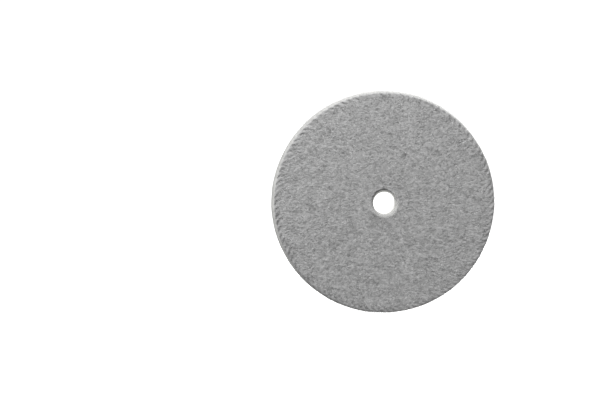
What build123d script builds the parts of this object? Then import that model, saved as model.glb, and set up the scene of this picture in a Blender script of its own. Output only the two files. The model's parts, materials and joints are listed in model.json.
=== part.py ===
"""Hook-and-loop felt polishing wheel: four cloth and felt layers, and an overlock seam of three threads.

The wheel stands upright with its axis along Y, its grey loop side facing -Y and its white felt face +Y.
It is modelled lying flat, loop side up, with the top of the sewn margin at height 0, and stood up at the end.
"""

import math
import os

from build123d import *

# Overall sizes
backing_diameter = 127.0  # cloth disc, measured over its overlocked edge
felt_overhang = 0.5  # the felt stands this far out past the overlocked edge
bore_diameter = 12.7

# Layers, from the loop side to the working face
backing_thickness = 1.4  # knitted ground and brushed nap together
margin_thickness = 0.75  # the same cloth where the seam presses it down
scrim_thickness = 0.6
film_thickness = 0.25
felt_thickness = 8.75

# Edges
scrim_setback = 0.2  # the ground cloth stops this far inside the loop cloth
margin_slope = 0.6  # radial width of the slope from the nap down to the margin
film_setback = 0.4  # the film stops this far inside the seam
working_edge_radius = 3.5  # soft outer edge of the white face
back_edge_radius = 2.2
bore_edge_radius = 0.5

# Overlock seam
stitch_count = 102
seam_bite = 3.9  # from the needle line to the cloth's edge
thread_diameter = 0.3
thread_gap = 0.02  # clearance between threads, and between a thread and the cloth
hole_gap = 0.03
edge_lead = 1.15  # the slanting run reaches the edge this many stitches past its needle hole
seam_room = 0.1  # clearance round the seam in the felt's recess and the nap

# Thread spacings that follow from the thread itself
thread_step = thread_diameter + thread_gap
leg_offset = thread_step  # half the distance between the two needle thread legs in one hole
hook_width = leg_offset + thread_step + thread_gap  # a looper passes this far from the hole's centre
hook_reach = 1.2 * thread_step  # half width of the upper looper's turn at the edge
hook_skew = 0.65 * thread_step  # half the stagger of the lower looper's turn along the edge
hook_knee = 1.3 * thread_step  # a looper runs straight past a needle hole this far towards the edge

# Radii
purl_reach = thread_gap + thread_diameter / 2 + thread_step  # from the cloth's edge to the upper looper's turn
cloth_radius = backing_diameter / 2 - purl_reach - thread_step - thread_diameter / 2
needle_radius = cloth_radius - seam_bite
felt_radius = backing_diameter / 2 + felt_overhang
bore_radius = bore_diameter / 2
hook_depth = hook_width + thread_gap  # how far inside the needle line the loopers turn
seam_inner_radius = needle_radius - hook_depth - thread_diameter / 2 - seam_room
stitch_angle = 2 * math.pi / stitch_count
stitch_length = needle_radius * stitch_angle

# Heights, with the top of the sewn margin at 0
top_thread = thread_gap + thread_diameter / 2
over_thread = top_thread + thread_step
loop_side = backing_thickness - margin_thickness
scrim_top = -margin_thickness
scrim_bottom = scrim_top - scrim_thickness
film_bottom = scrim_bottom - film_thickness
working_face = film_bottom - felt_thickness
low_thread = scrim_bottom - top_thread
under_thread = low_thread - thread_step
seam_floor = under_thread - thread_diameter / 2 - seam_room
purl_middle = scrim_bottom / 2
purl_low = purl_middle - thread_step / 2
purl_high = purl_middle + thread_step / 2

# The wheel is centred on its own thickness, and turned so that its loop side faces -Y.
middle = (loop_side + working_face) / 2
stand_up = Rot(X=90) * Pos(0, 0, -middle)


def revolved(outline):
    """A solid of revolution about the wheel's axis, from a face drawn in radius and height."""
    return revolve(outline, axis=Axis.Z)


def ring_outline(points):
    """A face in the XZ plane whose X is the radius."""
    corners = [(radius, 0, height) for radius, height in points]
    return make_face(Polyline(*corners, close=True))


def rounded(outline, radius, height, fillet_radius):
    """The outline with the corner at this radius and height rounded."""
    corner = outline.vertices().sort_by_distance((radius, 0, height))[0]
    return fillet(corner, fillet_radius)


def needle_holes(top, bottom):
    """One cylinder for each needle hole, long enough to pass through a layer."""
    radius = leg_offset + thread_diameter / 2 + hole_gap
    hole = Pos(needle_radius, 0, (top + bottom) / 2) * Cylinder(radius, top - bottom + 1)
    return [Rot(Z=math.degrees(stitch_angle * index)) * hole for index in range(stitch_count)]


def make_felt():
    """Thick felt disc with soft outer edges and a shallow recess over the seam."""
    outline = ring_outline(
        [
            (bore_radius, film_bottom),
            (seam_inner_radius, film_bottom),
            (seam_inner_radius, seam_floor),
            (felt_radius, seam_floor),
            (felt_radius, working_face),
            (bore_radius, working_face),
        ]
    )
    outline = rounded(outline, felt_radius, working_face, working_edge_radius)
    outline = rounded(outline, felt_radius, seam_floor, back_edge_radius)
    outline = rounded(outline, bore_radius, working_face, bore_edge_radius)
    return revolved(outline)


def make_film():
    """Hot-melt film, which stops short of the seam."""
    edge = seam_inner_radius - film_setback
    return revolved(
        ring_outline(
            [
                (bore_radius, scrim_bottom),
                (edge, scrim_bottom),
                (edge, film_bottom),
                (bore_radius, film_bottom),
            ]
        )
    )


def make_scrim():
    """Woven ground cloth with the needle holes through it."""
    edge = cloth_radius - scrim_setback
    disc = revolved(
        ring_outline(
            [
                (bore_radius, scrim_top),
                (edge, scrim_top),
                (edge, scrim_bottom),
                (bore_radius, scrim_bottom),
            ]
        )
    )
    return disc - needle_holes(scrim_top, scrim_bottom)


def make_backing():
    """Loop cloth: full height in the middle, pressed down to a thin margin under the seam."""
    disc = revolved(
        ring_outline(
            [
                (bore_radius, loop_side),
                (seam_inner_radius - margin_slope, loop_side),
                (seam_inner_radius, 0),
                (cloth_radius, 0),
                (cloth_radius, scrim_top),
                (bore_radius, scrim_top),
            ]
        )
    )
    return disc - needle_holes(loop_side, scrim_top)


def seam_point(along, outward, height, stitch=0):
    """A point of the seam: distance along the needle line, distance outwards from it, and height."""
    angle = along / needle_radius + stitch * stitch_angle
    radius = needle_radius + outward
    return Vector(radius * math.cos(angle), radius * math.sin(angle), height)


def sewn_thread(corners):
    """A thread all the way round: one stitch, drawn once through its corners, and copied round the rim.

    The stitch starts and ends halfway along a straight run, so that its end faces meet the next stitch's.
    """
    first = seam_point(*corners[0])
    last = seam_point(*corners[-1])
    start = (seam_point(*corners[-1], stitch=-1) + first) / 2
    end = (last + seam_point(*corners[0], stitch=1)) / 2
    route = [start] + [seam_point(*corner) for corner in corners] + [end]
    path = Polyline(*route)
    section = Plane(origin=path @ 0, z_dir=path % 0) * Circle(thread_diameter / 2)
    stitch = sweep(section, path=path, transition=Transition.RIGHT).solids()[0]
    drawn = path.length * math.pi * thread_diameter**2 / 4
    print(f"stitch volume {stitch.volume:.4f}, section times length {drawn:.4f}")
    return [Rot(Z=math.degrees(stitch_angle * index)) * stitch for index in range(stitch_count)]


def make_needle_thread():
    """Runs along the needle line over the upper looper, and dips through each hole to hold the lower one."""
    corners = [
        (-leg_offset, 0, over_thread),
        (-leg_offset, 0, under_thread),
        (leg_offset, 0, under_thread),
        (leg_offset, 0, over_thread),
    ]
    return sewn_thread(corners)


def make_upper_looper():
    """Lies on the loop side: round each needle hole, slanting out to the edge, and back from a turn there."""
    edge = edge_lead * stitch_length
    purl = seam_bite + purl_reach
    corners = [
        (-hook_width, hook_knee, top_thread),
        (-hook_width, -hook_depth, top_thread),
        (hook_width, -hook_depth, top_thread),
        (hook_width, hook_knee, top_thread),
        (edge - hook_reach, purl, top_thread),
        (edge - hook_reach, purl, purl_low),
        (edge + hook_reach, purl, purl_low),
        (edge + hook_reach, purl, top_thread),
    ]
    return sewn_thread(corners)


def make_lower_looper():
    """Lies on the hidden side: through each needle loop, out to the edge, and up round the upper looper."""
    edge = edge_lead * stitch_length
    purl = seam_bite + purl_reach
    corners = [
        (0, hook_knee, low_thread),
        (0, -hook_depth, low_thread),
        (hook_width, -hook_depth, low_thread),
        (hook_width, hook_knee, low_thread),
        (edge - hook_skew, purl - thread_step, low_thread),
        (edge - hook_skew, purl - thread_step, purl_high),
        (edge + hook_skew, purl + thread_step, purl_high),
        (edge + hook_skew, purl + thread_step, low_thread),
    ]
    return sewn_thread(corners)


pieces = {
    "felt_face": make_felt(),
    "bonding_film": make_film(),
    "scrim_cloth": make_scrim(),
    "loop_backing": make_backing(),
    "needle_thread": make_needle_thread(),
    "upper_looper_thread": make_upper_looper(),
    "lower_looper_thread": make_lower_looper(),
}

os.makedirs("parts", exist_ok=True)
for name, piece in pieces.items():
    solids = piece if isinstance(piece, list) else piece.solids()
    export_step(Compound(children=[stand_up * solid for solid in solids]), f"parts/{name}.step")
print(f"overall thickness {loop_side - working_face:.2f}, needle line radius {needle_radius:.2f}")
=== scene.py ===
"""Looks of a hook-and-loop felt polishing wheel: wool felt, grey loop cloth and a three-thread overlock seam.

The wheel stands on its rim with its axis along Y. Its grey loop side faces -Y and its white felt face +Y.
"""
import json
import math

import bmesh
import bpy
import numpy as np
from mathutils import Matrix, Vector, noise


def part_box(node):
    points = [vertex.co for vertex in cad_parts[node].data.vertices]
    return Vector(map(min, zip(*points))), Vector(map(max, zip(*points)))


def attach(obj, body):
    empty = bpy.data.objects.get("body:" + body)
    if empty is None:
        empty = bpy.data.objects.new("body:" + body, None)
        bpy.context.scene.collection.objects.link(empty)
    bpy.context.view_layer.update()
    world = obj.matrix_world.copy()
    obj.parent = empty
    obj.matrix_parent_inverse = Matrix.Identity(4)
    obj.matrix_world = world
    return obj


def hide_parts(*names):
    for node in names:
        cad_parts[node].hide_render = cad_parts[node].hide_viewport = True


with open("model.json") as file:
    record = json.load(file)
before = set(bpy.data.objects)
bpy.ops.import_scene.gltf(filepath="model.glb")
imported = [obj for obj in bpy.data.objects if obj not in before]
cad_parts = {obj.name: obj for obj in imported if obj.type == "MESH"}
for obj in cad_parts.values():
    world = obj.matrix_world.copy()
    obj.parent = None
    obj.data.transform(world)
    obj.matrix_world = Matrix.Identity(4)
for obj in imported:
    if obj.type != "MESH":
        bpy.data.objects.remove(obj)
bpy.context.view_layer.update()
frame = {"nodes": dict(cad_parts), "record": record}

MM = 0.001
STITCHES = 102
THREAD = 0.3 * MM
THREAD_GAP = 0.02 * MM  # between threads that cross
NAP_REACH = 1.3 * MM  # the rim's nap and hairs stand out past the felt by up to this much

# Where the layers and edges are, from the frame
LOOP_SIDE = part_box("loop_backing")[0].y
CLOTH_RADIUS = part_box("loop_backing")[1].x
SCRIM_FRONT, SCRIM_BACK = (corner.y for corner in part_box("scrim_cloth"))
FELT_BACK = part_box("felt_face")[0].y
WORKING_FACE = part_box("felt_face")[1].y
FELT_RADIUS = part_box("felt_face")[1].x
TABLE_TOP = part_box("felt_face")[0].z - NAP_REACH
SEAM_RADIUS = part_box("lower_looper_thread")[1].x
NEEDLE_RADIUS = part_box("needle_thread")[1].x - THREAD / 2
BORE = next(mount["dims"]["r_mm"] for mount in frame["record"]["mounts"] if mount["kind"] == "bore") * MM
STITCH = 2 * math.pi * NEEDLE_RADIUS / STITCHES


# ---------------------------------------------------------------- small tools


def deselect():
    bpy.ops.object.select_all(action="DESELECT")


def edit(piece, mode):
    """Into edit mode on one piece, with nothing selected."""
    deselect()
    piece.select_set(True)
    bpy.context.view_layer.objects.active = piece
    bpy.ops.object.mode_set(mode="EDIT")
    bpy.ops.mesh.select_mode(type=mode)
    bpy.ops.mesh.select_all(action="DESELECT")


def done():
    bpy.ops.object.mode_set(mode="OBJECT")
    deselect()


def paint(piece, name, values):
    """Gives each vertex a number, which the material reads."""
    layer = piece.data.attributes.new(name, "FLOAT", "POINT")
    layer.data.foreach_set("value", np.ascontiguousarray(values, dtype=np.float32))


def ramp(value, start, end):
    """0 before start, 1 after end, smooth between."""
    t = np.clip((value - start) / (end - start), 0, 1)
    return t * t * (3 - 2 * t)


def mottle(x, z, wide, high, seed, octaves=3):
    """Smooth cloudy values, about -1 to 1, whose patches are this wide and high."""
    return np.array([noise.fractal((a / wide, b / high, seed), 0.5, 2.0, octaves) for a, b in zip(x, z)])


def grain(x, z, y, wide, deep):
    """Smooth values, about -1 to 1, whose lumps are this wide on the face and this deep along the axis."""
    return np.array([noise.noise((a / wide, b / wide, c / deep)) for a, b, c in zip(x, z, y)])


# ---------------------------------------------------------------- materials

A_COLOUR, B_COLOUR = 6, 7  # the colour inputs of a Mix node
MIXED = 2  # its colour output


def linear(hex_colour):
    """An sRGB hex colour as linear red, green, blue and alpha."""
    channels = [int(hex_colour[i : i + 2], 16) / 255 for i in (1, 3, 5)]
    return [c / 12.92 if c <= 0.04045 else ((c + 0.055) / 1.055) ** 2.4 for c in channels] + [1.0]


def blank(name):
    material = bpy.data.materials.new(name)
    material.use_nodes = True
    material.node_tree.nodes.clear()
    return material


def node(owner, kind, inputs, **settings):
    """Adds a node with its settings. Each input is a value, or the output that feeds it."""
    made = owner.node_tree.nodes.new(kind)
    for name, value in settings.items():
        setattr(made, name, value)
    for socket, value in inputs.items():
        if isinstance(value, bpy.types.NodeSocket):
            owner.node_tree.links.new(value, made.inputs[socket])
        else:
            made.inputs[socket].default_value = value
    return made


def brushed_loop_knit():
    """Brushed polyester loop knit in melange grey: matt and woolly, pale loops over painted shade in the
    nap's low spots, pits and hole edge.
    """
    material = blank("brushed_polyester_loop_knit")
    tuft = 1.2 * MM  # a few loops brushed together
    strand = 0.5 * MM  # a filament is about 0.02 mm, too fine to show, so it is drawn as a coarser strand
    where = node(material, "ShaderNodeTexCoord", {}).outputs["Object"]
    # the nap is brushed along X, so every patch is wider than it is high
    brushed = node(material, "ShaderNodeMapping", {"Vector": where, "Scale": (0.45, 1, 1)}).outputs["Vector"]
    tufts = node(
        material,
        "ShaderNodeTexNoise",
        {"Vector": brushed, "Scale": 1 / tuft, "Detail": 3, "Roughness": 0.55},
    ).outputs["Fac"]
    strands = node(
        material,
        "ShaderNodeTexNoise",
        {"Vector": brushed, "Scale": 1 / strand, "Detail": 4, "Roughness": 0.65},
    ).outputs["Fac"]
    tuft_shade = node(
        material, "ShaderNodeMapRange", {"Value": tufts, "From Min": 0.3, "From Max": 0.7}
    ).outputs["Result"]
    strand_shade = node(
        material, "ShaderNodeMapRange", {"Value": strands, "From Min": 0.3, "From Max": 0.7}
    ).outputs["Result"]
    tuft_colour = node(
        material,
        "ShaderNodeMix",
        {0: tuft_shade, A_COLOUR: linear("#8E8E8E"), B_COLOUR: linear("#C2C2C2")},
        data_type="RGBA",
    ).outputs[MIXED]
    strand_colour = node(
        material,
        "ShaderNodeMix",
        {0: strand_shade, A_COLOUR: linear("#7A7A7A"), B_COLOUR: linear("#D6D6D6")},
        data_type="RGBA",
    ).outputs[MIXED]
    nap = node(
        material,
        "ShaderNodeMix",
        {0: 0.5, A_COLOUR: tuft_colour, B_COLOUR: strand_colour},
        data_type="RGBA",
    ).outputs[MIXED]
    # painted shade: this darkens the nap's low spots, the seam's pits and the hole's shaded edge, along with
    # its random slow clouds
    tone_and_shade = node(material, "ShaderNodeAttribute", {}, attribute_name="nap_tone_and_painted_shade").outputs["Fac"]
    with_painted_shade = node(
        material,
        "ShaderNodeMix",
        {0: tone_and_shade, A_COLOUR: nap, B_COLOUR: linear("#303030")},
        data_type="RGBA",
    ).outputs[MIXED]
    # the rolled rim is pale with fray; beside the hole, on the side facing the lamps, painted highlight is
    # added
    fray_and_highlight = node(material, "ShaderNodeAttribute", {}, attribute_name="rim_fray_and_painted_highlight").outputs["Fac"]
    colour = node(
        material,
        "ShaderNodeMix",
        {0: fray_and_highlight, A_COLOUR: with_painted_shade, B_COLOUR: linear("#DCDCDC")},
        data_type="RGBA",
    ).outputs[MIXED]
    relief = node(
        material, "ShaderNodeBump", {"Height": strands, "Distance": 0.3 * MM, "Strength": 0.8}
    ).outputs["Normal"]
    cloth = node(
        material,
        "ShaderNodeBsdfPrincipled",
        {
            "Base Color": colour,
            "Roughness": 0.95,
            "Specular IOR Level": 0.25,
            "Sheen Weight": 0.1,
            "Sheen Roughness": 0.6,
            "Normal": relief,
        },
    )
    node(material, "ShaderNodeOutputMaterial", {"Surface": cloth.outputs["BSDF"]})
    return material


def loop_filament():
    """Textured polyester filament of the loops: its grey varies from loop to loop, silkier than the nap."""
    material = blank("textured_polyester_filament")
    shade = node(material, "ShaderNodeAttribute", {}, attribute_name="fibre_shade").outputs["Fac"]
    colour = node(
        material,
        "ShaderNodeMix",
        {0: shade, A_COLOUR: linear("#767676"), B_COLOUR: linear("#E8E8E8")},
        data_type="RGBA",
    ).outputs[MIXED]
    filament = node(
        material,
        "ShaderNodeBsdfPrincipled",
        {"Base Color": colour, "Roughness": 0.75, "Specular IOR Level": 0.3, "Sheen Weight": 0.2},
    )
    node(material, "ShaderNodeOutputMaterial", {"Surface": filament.outputs["BSDF"]})
    return material


def pressed_wool_felt():
    """Pressed white wool: bright and matt, faintly cloudy, rougher where its side was cut, and greyed there
    with painted shade.
    """
    material = blank("pressed_white_wool_felt")
    cloud = 6 * MM  # where the wool was laid thicker or thinner
    lock = 0.7 * MM  # a wool fibre is about 0.03 mm, too fine to show, so locks of fibres are drawn
    where = node(material, "ShaderNodeTexCoord", {}).outputs["Object"]
    clouds = node(
        material, "ShaderNodeTexNoise", {"Vector": where, "Scale": 1 / cloud, "Detail": 3}
    ).outputs["Fac"]
    fibres = node(
        material,
        "ShaderNodeTexNoise",
        {"Vector": where, "Scale": 1 / lock, "Detail": 5, "Roughness": 0.7},
    ).outputs["Fac"]
    cloud_colour = node(
        material,
        "ShaderNodeMix",
        {0: clouds, A_COLOUR: linear("#E6E6E4"), B_COLOUR: linear("#F6F6F4")},
        data_type="RGBA",
    ).outputs[MIXED]
    fibre_colour = node(
        material,
        "ShaderNodeMix",
        {0: fibres, A_COLOUR: linear("#D8D8D6"), B_COLOUR: linear("#FFFFFD")},
        data_type="RGBA",
    ).outputs[MIXED]
    pressed = node(
        material,
        "ShaderNodeMix",
        {0: 0.4, A_COLOUR: cloud_colour, B_COLOUR: fibre_colour},
        data_type="RGBA",
    ).outputs[MIXED]
    # painted shade: this greys the felt's side towards its back
    cut = node(material, "ShaderNodeAttribute", {}, attribute_name="painted_side_shade").outputs["Fac"]
    colour = node(
        material,
        "ShaderNodeMix",
        {0: cut, A_COLOUR: pressed, B_COLOUR: linear("#B2B2B0")},
        data_type="RGBA",
    ).outputs[MIXED]
    relief = node(
        material, "ShaderNodeBump", {"Height": fibres, "Distance": 0.15 * MM, "Strength": 0.6}
    ).outputs["Normal"]
    wool = node(
        material,
        "ShaderNodeBsdfPrincipled",
        {
            "Base Color": colour,
            "Roughness": 0.95,
            "Specular IOR Level": 0.2,
            "Sheen Weight": 0.2,
            "Sheen Roughness": 0.7,
            "Normal": relief,
        },
    )
    node(material, "ShaderNodeOutputMaterial", {"Surface": wool.outputs["BSDF"]})
    return material


def wool_fibre():
    """Single wool fibres, bright where they stand clear of the felt."""
    material = blank("white_wool_fibre")
    shade = node(material, "ShaderNodeAttribute", {}, attribute_name="fibre_shade").outputs["Fac"]
    colour = node(
        material,
        "ShaderNodeMix",
        {0: shade, A_COLOUR: linear("#DCDCDA"), B_COLOUR: linear("#FBFBFA")},
        data_type="RGBA",
    ).outputs[MIXED]
    fibre = node(
        material,
        "ShaderNodeBsdfPrincipled",
        {"Base Color": colour, "Roughness": 0.7, "Specular IOR Level": 0.25, "Sheen Weight": 0.3},
    )
    node(material, "ShaderNodeOutputMaterial", {"Surface": fibre.outputs["BSDF"]})
    return material


def spun_sewing_thread():
    """Three-ply spun polyester thread: grey, a soft glint on each ply and painted shade in the lines between
    them.
    """
    material = blank("spun_polyester_thread")
    slub = 0.6 * MM  # the spun fibres are too fine to show, so the thread's unevenness is drawn
    where = node(material, "ShaderNodeTexCoord", {}).outputs["Object"]
    fuzz = node(
        material, "ShaderNodeTexNoise", {"Vector": where, "Scale": 1 / slub, "Detail": 4}
    ).outputs["Fac"]
    spun = node(
        material,
        "ShaderNodeMix",
        {0: fuzz, A_COLOUR: linear("#8E8E8E"), B_COLOUR: linear("#D0D0D0")},
        data_type="RGBA",
    ).outputs[MIXED]
    # painted shade in the grooves between the plies
    between = node(material, "ShaderNodeAttribute", {}, attribute_name="painted_shade_between_plies").outputs["Fac"]
    colour = node(
        material,
        "ShaderNodeMix",
        {0: between, A_COLOUR: spun, B_COLOUR: linear("#626262")},
        data_type="RGBA",
    ).outputs[MIXED]
    thread = node(
        material,
        "ShaderNodeBsdfPrincipled",
        {"Base Color": colour, "Roughness": 0.6, "Specular IOR Level": 0.35, "Sheen Weight": 0.25},
    )
    node(material, "ShaderNodeOutputMaterial", {"Surface": thread.outputs["BSDF"]})
    return material


def plain_weave_scrim():
    """Plain-weave cotton-polyester ground cloth: natural white, with an open grid of raised threads."""
    material = blank("plain_weave_scrim")
    thread_spacing = 0.8 * MM
    half_turns = math.pi / thread_spacing
    where = node(material, "ShaderNodeTexCoord", {}).outputs["Object"]
    across = node(
        material, "ShaderNodeVectorMath", {0: where, 1: (half_turns, 0, half_turns)}, operation="MULTIPLY"
    ).outputs["Vector"]
    waves = node(material, "ShaderNodeVectorMath", {0: across}, operation="SINE").outputs["Vector"]
    wave = node(material, "ShaderNodeSeparateXYZ", {"Vector": waves})
    weave = node(
        material, "ShaderNodeMath", {0: wave.outputs["X"], 1: wave.outputs["Z"]}, operation="MULTIPLY"
    ).outputs[0]
    height = node(material, "ShaderNodeMath", {0: weave}, operation="ABSOLUTE").outputs[0]
    colour = node(
        material,
        "ShaderNodeMix",
        {0: height, A_COLOUR: linear("#B4B4B0"), B_COLOUR: linear("#DCDCD8")},
        data_type="RGBA",
    ).outputs[MIXED]
    relief = node(
        material, "ShaderNodeBump", {"Height": height, "Distance": 0.15 * MM, "Strength": 0.7}
    ).outputs["Normal"]
    cloth = node(
        material,
        "ShaderNodeBsdfPrincipled",
        {"Base Color": colour, "Roughness": 0.9, "Sheen Weight": 0.2, "Normal": relief},
    )
    node(material, "ShaderNodeOutputMaterial", {"Surface": cloth.outputs["BSDF"]})
    return material


def hot_melt_film():
    """Hot-melt polyamide film after pressing: milky, waxy and a little uneven."""
    material = blank("hot_melt_film")
    run = 3 * MM  # how far the melt ran under the press
    where = node(material, "ShaderNodeTexCoord", {}).outputs["Object"]
    flow = node(
        material, "ShaderNodeTexNoise", {"Vector": where, "Scale": 1 / run, "Detail": 2}
    ).outputs["Fac"]
    colour = node(
        material,
        "ShaderNodeMix",
        {0: flow, A_COLOUR: linear("#D2D0C8"), B_COLOUR: linear("#F0EEE8")},
        data_type="RGBA",
    ).outputs[MIXED]
    relief = node(
        material, "ShaderNodeBump", {"Height": flow, "Distance": 0.1 * MM, "Strength": 0.4}
    ).outputs["Normal"]
    film = node(
        material,
        "ShaderNodeBsdfPrincipled",
        {"Base Color": colour, "Roughness": 0.45, "IOR": 1.5, "Normal": relief},
    )
    node(material, "ShaderNodeOutputMaterial", {"Surface": film.outputs["BSDF"]})
    return material


def lit_table():
    """Opal acrylic table lit from below: white and matt, so that shadows on it stay pale."""
    material = blank("opal_light_table")
    patch = 40 * MM  # slow unevenness of a cast sheet
    where = node(material, "ShaderNodeTexCoord", {}).outputs["Object"]
    tooth = node(material, "ShaderNodeTexNoise", {"Vector": where, "Scale": 1 / patch}).outputs["Fac"]
    colour = node(
        material,
        "ShaderNodeMix",
        {0: tooth, A_COLOUR: linear("#F2F2F2"), B_COLOUR: linear("#FAFAFA")},
        data_type="RGBA",
    ).outputs[MIXED]
    table = node(
        material,
        "ShaderNodeBsdfPrincipled",
        {
            "Base Color": colour,
            "Roughness": 0.9,
            "Emission Color": linear("#FFFFFF"),
            "Emission Strength": 0.85,
        },
    )
    node(material, "ShaderNodeOutputMaterial", {"Surface": table.outputs["BSDF"]})
    return material


# ---------------------------------------------------------------- shaping cloth and felt


def flat_rings(name, bands):
    """A flat ring round the axis, drawn as a circle whose edge is extruded outwards row by row.

    Each band is (start radius, end radius, rows, how many times its faces are then halved).
    """
    now = bands[0][0]
    bpy.ops.mesh.primitive_circle_add(vertices=STITCHES, radius=now, rotation=(math.pi / 2, 0, 0))
    piece = bpy.context.active_object
    piece.name = name
    bpy.ops.object.transform_apply(location=True, rotation=True, scale=True)
    edit(piece, "EDGE")
    bpy.ops.mesh.select_all(action="SELECT")
    for inner, outer, rows, _ in bands:
        for row in range(1, rows + 1):
            wider = inner + (outer - inner) * row / rows
            bpy.ops.mesh.extrude_region_move()
            bpy.ops.transform.resize(value=(wider / now, 1, wider / now), center_override=(0, 0, 0))
            now = wider
    for level in range(1, max(band[3] for band in bands) + 1):
        edge = min(band[0] for band in bands if band[3] >= level)
        bpy.ops.mesh.select_mode(type="FACE")
        bpy.ops.mesh.select_all(action="DESELECT")
        mesh = bmesh.from_edit_mesh(piece.data)
        for face in mesh.faces:
            middle = face.calc_center_median()
            face.select = math.hypot(middle.x, middle.z) > edge
        bmesh.update_edit_mesh(piece.data)
        bpy.ops.mesh.subdivide(number_cuts=1, quadcorner="INNERVERT")
    done()
    return piece


def arc(centre, reach, start, end, steps=10):
    """Points of an arc, as radius and height; its angles are in degrees."""
    turns = np.radians(np.linspace(start, end, steps))
    return [(centre[0] + reach[0] * math.cos(turn), centre[1] + reach[1] * math.sin(turn)) for turn in turns]


def profile_length(profile):
    return float(np.hypot(*np.diff(np.array(profile), axis=0).T).sum())


def laid_along(piece, start, profile):
    """Where a flat ring's vertices go when its rows, from the start radius, are laid along a profile.

    Returns each vertex's angle, its distance along the profile, its radius and its Y.
    """
    xyz = np.empty(len(piece.data.vertices) * 3)
    piece.data.vertices.foreach_get("co", xyz)
    x, _, z = xyz.reshape(-1, 3).T
    travel = np.hypot(x, z) - start
    points = np.array(profile)
    reached = np.concatenate([[0], np.cumsum(np.hypot(*np.diff(points, axis=0).T))])
    radius = np.interp(travel, reached, points[:, 0])
    return np.arctan2(z, x), travel, radius, np.interp(travel, reached, points[:, 1])


def skin(piece, angle, radius, y, material):
    """Puts the vertices in place, closes the piece behind, and makes it smooth."""
    placed = np.column_stack([radius * np.cos(angle), y, radius * np.sin(angle)])
    piece.data.vertices.foreach_set("co", placed.ravel())
    edit(piece, "EDGE")
    bpy.ops.mesh.select_non_manifold(extend=False, use_wire=False, use_multi_face=False)
    bpy.ops.mesh.bridge_edge_loops()
    bpy.ops.mesh.select_all(action="SELECT")
    bpy.ops.mesh.normals_make_consistent(inside=False)
    done()
    piece.data.materials.append(material)
    piece.select_set(True)
    bpy.context.view_layer.objects.active = piece
    bpy.ops.object.shade_smooth_by_angle(angle=math.radians(60))
    deselect()


# ---------------------------------------------------------------- the overlock's pull on the cloth

LEAN = 0.85  # along the seam for each unit outwards
PULL_START = 0.5 * MM  # from the needle hole, along the seam
PIT_WIDTH = 0.62 * MM  # half the width of a pit, along the seam
LOBE_START, LOBE_FULL = 1.4 * MM, 3.8 * MM  # outwards from the needle line
random = np.random.default_rng(STITCHES)
stitch_angle = np.arange(STITCHES) * 2 * math.pi / STITCHES
# the seam was sewn slacker for a stretch on the +X side, low down
slack = 0.55 * np.exp(-(((stitch_angle - math.radians(315)) / math.radians(38)) ** 2))
stitch_depth = random.uniform(0.55, 1.05, STITCHES) * (1 - slack)
stitch_shift = random.uniform(-0.18, 0.18, STITCHES) * MM
stitch_width = random.uniform(0.85, 1.2, STITCHES)
pull_middle = random.uniform(3.1, 3.8, STITCHES) * MM  # outwards from the needle line
pull_reach = random.uniform(1.4, 2.0, STITCHES) * MM


def stitch_pull(outward, angle):
    """How deep the stitches pull the nap in, and how full the lobes between them are, both from 0 to 1."""
    along = angle * NEEDLE_RADIUS - LEAN * outward - PULL_START
    nearest = np.round(along / STITCH).astype(int)
    stitch = nearest % STITCHES
    aside = (along - nearest * STITCH - stitch_shift[stitch]) * math.cos(math.atan(LEAN))
    reach = np.exp(-(((outward - pull_middle[stitch]) / pull_reach[stitch]) ** 2))
    pit = np.exp(-((aside / (PIT_WIDTH * stitch_width[stitch])) ** 2)) * reach * stitch_depth[stitch]
    lobe = ramp(outward, LOBE_START, LOBE_FULL) * (0.5 - 0.5 * np.cos(2 * math.pi * aside / STITCH))
    return pit, lobe


# ---------------------------------------------------------------- cloth and felt

LIT_AND_DRAGGED_ANGLE = math.radians(-62)  # the side of the hole that faces the lamps, where wool stands over the cloth and painted highlight is laid
LIT_AND_DRAGGED_SPREAD = math.radians(55)


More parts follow.
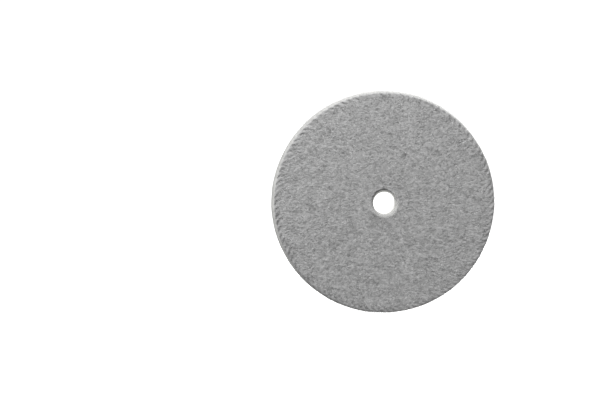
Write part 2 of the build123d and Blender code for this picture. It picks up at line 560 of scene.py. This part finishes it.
def make_loop_cloth(material):
    """The grey loop cloth: napped face, rim rolled over the edge, and hollows where the stitches pull."""
    hole = BORE + 0.45 * MM  # the cloth stops a little short of the felt's bore
    lip, lip_depth = 1.1 * MM, 1.2 * MM  # rounding of the cloth at the hole
    rim = CLOTH_RADIUS + 0.75 * MM  # the nap stands out past the cloth's own edge
    roll, roll_depth = 1.5 * MM, 1.5 * MM  # rounding of the cloth at the rim
    tuck = 0.4 * MM
    pit_depth, lobe_height = 0.8 * MM, 0.16 * MM
    fluff_height = 0.24  # in millimetres
    creep = 0.9 * MM
    profile = [(hole, SCRIM_FRONT)]
    profile += arc((hole + lip, LOOP_SIDE + lip_depth), (lip, -lip_depth), 180, 90, 6)
    start = hole + lip - profile_length(profile)
    profile += arc((rim - roll, LOOP_SIDE + roll_depth), (roll, -roll_depth), 90, 0)
    turned = start + profile_length(profile)
    # behind, the rolled edge reaches back to the scrim's edge, and the cloth lies against the scrim's front
    profile += [(rim - tuck, SCRIM_BACK), (CLOTH_RADIUS, SCRIM_BACK), (CLOTH_RADIUS, SCRIM_FRONT)]
    end = start + profile_length(profile)
    piece = flat_rings(
        "loop_cloth",
        [
            (start, 9 * MM, 9, 0),
            (9 * MM, 18 * MM, 8, 1),
            (18 * MM, 36 * MM, 8, 2),
            (36 * MM, 57 * MM, 5, 3),
            (57 * MM, end, 1, 4),
        ],
    )
    angle, travel, radius, y = laid_along(piece, start, profile)
    flat = start + travel
    face = 1 - ramp(flat, rim - roll + 0.5 * MM, rim - roll + 2 * MM)
    x, z = flat * np.cos(angle), flat * np.sin(angle)
    tufts = mottle(x, z, 2.3 * MM, 1.2 * MM, 3.7)
    strands = mottle(x, z, 1.2 * MM, 0.6 * MM, 11.2, octaves=2)
    drift = mottle(x, z, 5.5 * MM, 2.6 * MM, 7.9)
    pit, lobe = stitch_pull(flat - NEEDLE_RADIUS, angle)
    fluff = (fluff_height * tufts + fluff_height * strands) * MM
    in_front = 1 - ramp(flat, turned - 0.6 * MM, turned)
    y = y + (pit_depth * pit - lobe_height * lobe + fluff) * (0.25 + 0.75 * face) * in_front
    radius = radius + (0.3 * lobe - 0.5 * pit) * MM * (1 - face) * in_front
    # the punch dragged white wool up over the side of the hole that faces the lamps, which is also lighter
    # with painted highlight; round the rest of the hole's cut edge, painted shade darkens the cloth
    lit_and_dragged = np.exp(-(((angle - LIT_AND_DRAGGED_ANGLE) / LIT_AND_DRAGGED_SPREAD) ** 2))
    painted_shade_at_hole = (1 - ramp(radius, hole, hole + lip)) * (1 - lit_and_dragged)
    dusting_and_highlight = lit_and_dragged * (1 - ramp(radius, hole, hole + 2.6 * MM)) * (0.75 + 0.4 * strands)
    # painted shade darkens the nap in the pits, in the low spots between tufts and along the hole's shaded
    # cut edge; in slow clouds it is darker at random
    shade = 0.07 + 0.2 * pit + 0.1 * (tufts + strands) + 0.26 * drift + 0.65 * painted_shade_at_hole
    paint(piece, "nap_tone_and_painted_shade", np.clip(shade, 0, 0.8))
    paint(piece, "rim_fray_and_painted_highlight", np.clip(0.55 * (1 - face) + dusting_and_highlight, 0, 1))
    # the cloth has crept back from the hole's upper side, so the hole in it is a little taller than wide
    crept = np.clip(np.cos(angle - math.radians(100)), 0, 1) ** 2
    radius = radius + creep * crept * (1 - ramp(flat, hole + lip, hole + 5 * MM))
    skin(piece, angle, radius, y, material)
    return piece


def make_felt(material):
    """The white wool felt: a thick disc with a crowned edge, a cut bore and a recess over the seam."""
    crown = (3.9 * MM, 3.4 * MM)
    back_edge = 2.3 * MM
    bore_edge = 0.7 * MM
    recess = FELT_BACK + 0.45 * MM
    profile = [(BORE, FELT_BACK)]
    profile += arc((BORE + bore_edge, WORKING_FACE - bore_edge), (bore_edge, bore_edge), 180, 90, 5)
    profile += arc((FELT_RADIUS - crown[0], WORKING_FACE - crown[1]), crown, 90, 0)
    profile += arc((FELT_RADIUS - back_edge, recess + back_edge), (back_edge, back_edge), 0, -90, 7)
    profile += [(NEEDLE_RADIUS - 0.95 * MM, recess), (NEEDLE_RADIUS - 1.3 * MM, FELT_BACK)]
    start = 4 * MM  # the first rows of the flat ring become the bore's wall
    bore_wall = WORKING_FACE - FELT_BACK
    face = start + bore_wall
    piece = flat_rings(
        "wool_felt",
        [
            (start, face + 3 * MM, 18, 0),
            (face + 3 * MM, face + 12 * MM, 8, 1),
            (face + 12 * MM, face + 30 * MM, 8, 2),
            (face + 30 * MM, start + profile_length(profile), 11, 3),
        ],
    )
    angle, _, radius, y = laid_along(piece, start, profile)
    x, z = radius * np.cos(angle), radius * np.sin(angle)
    swell = mottle(x, z, 16 * MM, 16 * MM, 5.1, octaves=2)
    clouds = mottle(x, z, 2.8 * MM, 2.8 * MM, 8.3)
    ripple = grain(x, z, y, 7 * MM, 2.5 * MM)
    side = ramp(radius, FELT_RADIUS - 6 * MM, FELT_RADIUS - 1 * MM)
    in_bore = 1 - ramp(radius, BORE, BORE + 1.2 * MM)
    # the felt was cut a little full on its -X side, so it stands further out past the cloth there
    full_spread = 0.9  # radians
    fuller = np.exp(-(((math.pi - np.abs(angle)) / full_spread) ** 2))
    # painted shade on the felt's side, fading out towards the working face
    painted_side_shade = ramp(radius, FELT_RADIUS - 2.5 * MM, FELT_RADIUS - 0.8 * MM)
    painted_side_shade *= 1 - ramp(y, WORKING_FACE - 4.5 * MM, WORKING_FACE - 1.5 * MM)
    fuzz = grain(x, z, y, 1.6 * MM, 1.6 * MM)
    paint(piece, "painted_side_shade", painted_side_shade * np.clip(0.8 + 0.3 * fuzz, 0, 1))
    y = y + (0.05 * swell + 0.02 * clouds) * MM * ramp(y, 2 * MM, 5 * MM)
    radius = radius + (side * (0.2 * ripple + fuller) + 0.12 * in_bore * ripple) * MM
    skin(piece, angle, radius, y, material)
    return piece


# ---------------------------------------------------------------- fibres


def fibres(name, paths, thickness, shade, material):
    """One mesh of many short fibres: each is a thin spline that tapers to its ends."""
    steps = paths.shape[1]
    taper = np.sin(np.linspace(0.3, math.pi - 0.3, steps)) ** 0.5
    curve = bpy.data.curves.new(name, "CURVE")
    curve.dimensions = "3D"
    curve.bevel_depth = 1.0  # the radius at each point is then in metres
    curve.bevel_resolution = 0
    curve.use_fill_caps = True
    for path, across in zip(paths, thickness):
        spline = curve.splines.new("POLY")
        spline.points.add(steps - 1)
        spline.points.foreach_set("co", np.column_stack([path, np.ones(steps)]).ravel())
        spline.points.foreach_set("radius", across / 2 * taper)
    piece = bpy.data.objects.new(name, curve)
    bpy.context.collection.objects.link(piece)
    deselect()
    piece.select_set(True)
    bpy.context.view_layer.objects.active = piece
    bpy.ops.object.convert(target="MESH")
    piece.data.materials.append(material)
    paint(piece, "fibre_shade", np.repeat(shade, len(piece.data.vertices) // len(paths)))
    bpy.ops.object.shade_smooth()
    deselect()
    return piece


def nap_loops(name, count, seed, material):
    """Loose loops of the brushed nap, lying along the cloth and standing a little out of it."""
    draw = np.random.default_rng(seed)
    inner, outer = (BORE + 2.2 * MM) ** 2, (NEEDLE_RADIUS + 2.5 * MM) ** 2
    radius = np.sqrt(draw.uniform(inner, outer, (count, 1)))
    angle = draw.uniform(0, 2 * math.pi, (count, 1))
    heading = draw.normal(0, 0.7, (count, 1))
    length = draw.uniform(0.8, 2.6, (count, 1)) * MM
    bow = draw.normal(0, 0.3, (count, 1)) * MM
    lift = draw.uniform(0.12, 0.45, (count, 1)) * MM
    t = np.linspace(0, 1, 5)[None, :]
    forward = (t - 0.5) * length
    sideways = bow * np.sin(math.pi * t)
    x = radius * np.cos(angle) + forward * np.cos(heading) - sideways * np.sin(heading)
    z = radius * np.sin(angle) + forward * np.sin(heading) + sideways * np.cos(heading)
    pit, _ = stitch_pull(radius - NEEDLE_RADIUS, angle)
    rise = lift * np.sin(math.pi * t) - 0.12 * MM - 0.6 * MM * pit
    # a single filament is too fine to show, so each loop is drawn as thick as a small bundle
    thickness = draw.uniform(0.1, 0.2, count) * MM
    paths = np.stack([x, LOOP_SIDE - rise, z], axis=2)
    return fibres(name, paths, thickness, draw.uniform(0, 1, count), material)


def loose_hairs(name, count, seed, roots, reach, direction, angles, material):
    """Loose wool hairs, curled at random.

    roots is the range of their radius and of their Y, reach the range of their length, and direction how far
    they go outwards and along Y for each unit of it. angles is the middle and spread of where they grow.
    """
    draw = np.random.default_rng(seed)
    angle = draw.normal(*angles, (count, 1))
    radius = draw.uniform(*roots[0], (count, 1))
    y = draw.uniform(*roots[1], (count, 1))
    length = draw.uniform(*reach, (count, 1))
    lean = draw.normal(0, 0.7, (count, 1))
    curl = draw.normal(0, 0.8, (count, 1))
    lift = draw.normal(0, 0.35, (count, 1))
    t = np.linspace(0, 1, 5)[None, :]
    out = radius + direction[0] * length * t
    turned = angle + (lean * t + curl * t * t) * length / out
    along = y + (direction[1] * t + lift * t * t) * length
    thickness = draw.uniform(0.035, 0.07, count) * MM
    paths = np.stack([out * np.cos(turned), along, out * np.sin(turned)], axis=2)
    return fibres(name, paths, thickness, draw.uniform(0, 1, count), material)


# ---------------------------------------------------------------- threads

PLIES = 3
SECTION = 9  # points round a thread
LAY = 1.3 * MM  # length of one turn of the plies
RING_SPACING = 0.16 * MM  # between the sections along a thread


def smooth_route(corners):
    """Points along a closed smooth curve that these corners control."""
    curve = bpy.data.curves.new("thread_route", "CURVE")
    curve.dimensions = "3D"
    spline = curve.splines.new("NURBS")
    spline.points.add(len(corners) - 1)
    spline.points.foreach_set("co", np.column_stack([corners, np.ones(len(corners))]).ravel())
    spline.use_cyclic_u = True
    spline.order_u = 3
    spline.resolution_u = 6
    line = bpy.data.objects.new("thread_route", curve)
    mesh = bpy.data.meshes.new_from_object(line)
    found = np.array([vertex.co for vertex in mesh.vertices])
    bpy.data.objects.remove(line)
    bpy.data.meshes.remove(mesh)
    return found


def make_thread(name, corners, material):
    """A three-ply twisted thread all the way round the seam, through one stitch's corners repeated."""
    route = []
    for stitch in range(STITCHES):
        for along, outward, depth in corners:
            angle = (along + stitch * STITCH) / NEEDLE_RADIUS
            radius = NEEDLE_RADIUS + outward
            route.append((radius * math.cos(angle), LOOP_SIDE + depth, radius * math.sin(angle)))
    curved = smooth_route(np.array(route))
    closed = np.vstack([curved, curved[:1]])
    reached = np.concatenate([[0], np.cumsum(np.linalg.norm(np.diff(closed, axis=0), axis=1))])
    whole = reached[-1]
    rings = int(whole / RING_SPACING)
    at = np.linspace(0, whole, rings, endpoint=False)
    line = np.column_stack([np.interp(at, reached, closed[:, i]) for i in range(3)])
    tangent = np.roll(line, -1, axis=0) - np.roll(line, 1, axis=0)
    tangent /= np.linalg.norm(tangent, axis=1, keepdims=True)
    # one side direction is carried along the line without twist, and its slip on closing is shared out
    side = np.empty_like(tangent)
    side[0] = Vector(tangent[0]).orthogonal().normalized()
    for i in range(1, rings):
        carried = side[i - 1] - tangent[i] * np.dot(side[i - 1], tangent[i])
        side[i] = carried / np.linalg.norm(carried)
    last = side[-1] - tangent[0] * np.dot(side[-1], tangent[0])
    slip = math.atan2(np.dot(np.cross(side[0], last), tangent[0]), np.dot(side[0], last))
    twist = (2 * math.pi * round(whole / LAY) - slip) * np.arange(rings) / rings
    other = np.cross(tangent, side)
    section = np.arange(SECTION) * 2 * math.pi / SECTION
    crown = 0.5 + 0.5 * np.cos(PLIES * section)
    reach = THREAD / 2 * (0.72 + 0.34 * crown)
    around = section[None, :] + twist[:, None]
    vertices = (
        line[:, None, :]
        + (reach * np.cos(around))[..., None] * side[:, None, :]
        + (reach * np.sin(around))[..., None] * other[:, None, :]
    )
    ring, point = np.meshgrid(np.arange(rings), np.arange(SECTION), indexing="ij")
    next_ring, next_point = (ring + 1) % rings * SECTION, (point + 1) % SECTION
    ring = ring * SECTION
    face_corners = [ring + point, ring + next_point, next_ring + next_point, next_ring + point]
    faces = np.stack(face_corners, axis=2).reshape(-1, 4)
    mesh = bpy.data.meshes.new(name)
    mesh.from_pydata(vertices.reshape(-1, 3).tolist(), [], faces.tolist())
    mesh.shade_smooth()
    mesh.materials.append(material)
    piece = bpy.data.objects.new(name, mesh)
    bpy.context.collection.objects.link(piece)
    # painted shade: strongest in the grooves between the plies
    paint(piece, "painted_shade_between_plies", np.tile(0.8 * (1 - crown), rings))
    return piece


def make_seam(material):
    """The overlock's three threads, in the same order over and under as in the frame."""
    step = THREAD + THREAD_GAP
    top = 0.62 * MM  # into the cloth from the loop side, as every depth here is
    over = top - step
    low = SCRIM_BACK - LOOP_SIDE + step / 2
    under = low + step
    hook = 2 * step
    knee = 0.4 * MM
    edge = 1.15 * STITCH
    purl = SEAM_RADIUS - NEEDLE_RADIUS - THREAD / 2 - step
    purl_depth = (SCRIM_BACK - LOOP_SIDE) / 2 + 0.25 * MM
    sunk = 1.0 * MM  # the slanting run is buried in the nap
    shoulder = 0.35 * MM
    turn, skew = 1.2 * step, 0.65 * step
    needle = [(-step, 0, over), (-step, 0, under), (step, 0, under), (step, 0, over)]
    upper_looper = [
        (-hook, knee, top),
        (-hook, -hook, top),
        (hook, -hook, top),
        (hook, knee, sunk),
        (edge / 2, purl / 2, sunk),
        (edge - turn, purl, shoulder),
        (edge - turn, purl, purl_depth + step / 2),
        (edge + turn, purl, purl_depth + step / 2),
        (edge + turn, purl, shoulder),
    ]
    lower_looper = [
        (0, knee, low),
        (0, -hook, low),
        (hook, -hook, low),
        (hook, knee, low),
        (edge - skew, purl - step, low),
        (edge - skew, purl - step, purl_depth - step / 2),
        (edge + skew, purl + step, purl_depth - step / 2),
        (edge + skew, purl + step, low),
    ]
    return [
        make_thread("needle_thread_ply", needle, material),
        make_thread("upper_looper_ply", upper_looper, material),
        make_thread("lower_looper_ply", lower_looper, material),
    ]


# ---------------------------------------------------------------- camera, floor and light


def make_camera():
    """A long lens nearly face on to the loop side, a little left of it and above.

    The wheel stands right of the picture's centre.
    """
    left, above = math.radians(4.4), math.radians(4.2)
    wheel_aside, wheel_below = math.radians(3.39), math.radians(0.092)
    distance = 0.82
    sight = Vector((math.sin(left) * math.cos(above), math.cos(left) * math.cos(above), -math.sin(above)))
    bpy.ops.object.camera_add(location=-distance * sight)
    camera = bpy.context.active_object
    heading = left - wheel_aside
    pitch = wheel_below - above
    camera.rotation_euler = (math.pi / 2 + pitch, 0, -heading)
    camera.data.lens = 85
    camera.data.sensor_width = 36
    camera.data.clip_start = 0.01
    camera.data.clip_end = 50
    bpy.context.scene.camera = camera


def make_light(kind, name, side, distance, energy, **settings):
    """A lamp up and to the left of one face: side is -1 for the loop side and 1 for the felt face."""
    left, out, up = 0.45, 1.0, 0.95
    place = Vector((left * side, out * side, up)).normalized() * distance
    bpy.ops.object.light_add(type=kind, location=place)
    lamp = bpy.context.active_object
    lamp.name = name
    lamp.rotation_euler = (-place).to_track_quat("-Z", "Y").to_euler()
    lamp.data.energy = energy
    lamp.visible_camera = False
    for setting, value in settings.items():
        setattr(lamp.data, setting, value)


def make_studio():
    """A light table, a pale sky that is dimmer below, and for each face a far lamp and a near one."""
    table_width = 12
    bpy.ops.mesh.primitive_grid_add(
        x_subdivisions=4, y_subdivisions=4, size=table_width, location=(0, 0, TABLE_TOP)
    )
    floor = bpy.context.active_object
    floor.name = "light_table"
    floor.data.materials.append(lit_table())
    floor.visible_diffuse = False  # so that it throws no light up at the wheel
    sky = bpy.data.worlds.new("pale_sky")
    sky.use_nodes = True
    sky.node_tree.nodes.clear()
    bpy.context.scene.world = sky
    where = node(sky, "ShaderNodeTexCoord", {}).outputs["Generated"]
    height = node(sky, "ShaderNodeSeparateXYZ", {"Vector": where}).outputs["Z"]
    strength = node(
        sky,
        "ShaderNodeMapRange",
        {"Value": height, "From Min": -0.5, "From Max": 0.5, "To Min": 0.2, "To Max": 0.5},
    ).outputs["Result"]
    white = linear("#FFFFFF")
    lit = node(sky, "ShaderNodeBackground", {"Color": white, "Strength": strength}).outputs["Background"]
    seen = node(sky, "ShaderNodeBackground", {"Color": white, "Strength": 1.1}).outputs["Background"]
    ray = node(sky, "ShaderNodeLightPath", {}).outputs["Is Camera Ray"]
    chosen = node(sky, "ShaderNodeMixShader", {0: ray, 1: lit, 2: seen}).outputs["Shader"]
    node(sky, "ShaderNodeOutputWorld", {"Surface": chosen})
    for side, face in ((-1, "loop_side"), (1, "felt_side")):
        make_light("SUN", f"far_{face}", side, distance=2.0, energy=0.78, angle=math.radians(25))
        make_light("AREA", f"near_{face}", side, distance=0.45, energy=1.26, size=0.3)
    bpy.context.scene.view_settings.view_transform = "Standard"
    bpy.context.scene.view_settings.look = "None"


# ---------------------------------------------------------------- putting it together

make_camera()
make_studio()

filament = loop_filament()
wool = wool_fibre()

loop_cloth = make_loop_cloth(brushed_loop_knit())
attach(loop_cloth, "root")
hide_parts("loop_backing")

wool_felt = make_felt(pressed_wool_felt())
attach(wool_felt, "root")
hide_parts("felt_face")

cad_threads = ("needle_thread", "upper_looper_thread", "lower_looper_thread")
for thread, cad_thread in zip(make_seam(spun_sewing_thread()), cad_threads):
    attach(thread, "root")
    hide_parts(cad_thread)

# the nap is in five pieces, so that none of them has too many faces
for number in range(1, 6):
    loops = nap_loops(f"nap_loops_{number}", count=5000, seed=40 + number, material=filament)
    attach(loops, "root")

rim_hairs = loose_hairs(
    "rim_hairs",
    count=3000,
    seed=61,
    roots=((FELT_RADIUS - 0.25 * MM, FELT_RADIUS + 0.1 * MM), (FELT_BACK + 1 * MM, WORKING_FACE - 1.5 * MM)),
    reach=(0.4 * MM, 1.3 * MM),
    direction=(0.9, 0),
    angles=(0, 2 * math.pi),
    material=wool,
)
bore_hairs = loose_hairs(
    "bore_hairs",
    count=560,
    seed=62,
    roots=((BORE + 0.1 * MM, BORE + 0.5 * MM), (LOOP_SIDE, LOOP_SIDE + 0.7 * MM)),
    reach=(0.7 * MM, 2.6 * MM),
    direction=(0.9, -0.5),
    angles=(LIT_AND_DRAGGED_ANGLE, LIT_AND_DRAGGED_SPREAD),
    material=wool,
)
for hairs in (rim_hairs, bore_hairs):
    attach(hairs, "root")

for cad_node, material in (("scrim_cloth", plain_weave_scrim()), ("bonding_film", hot_melt_film())):
    shown = frame["nodes"][cad_node].data
    shown.materials.clear()
    shown.materials.append(material)
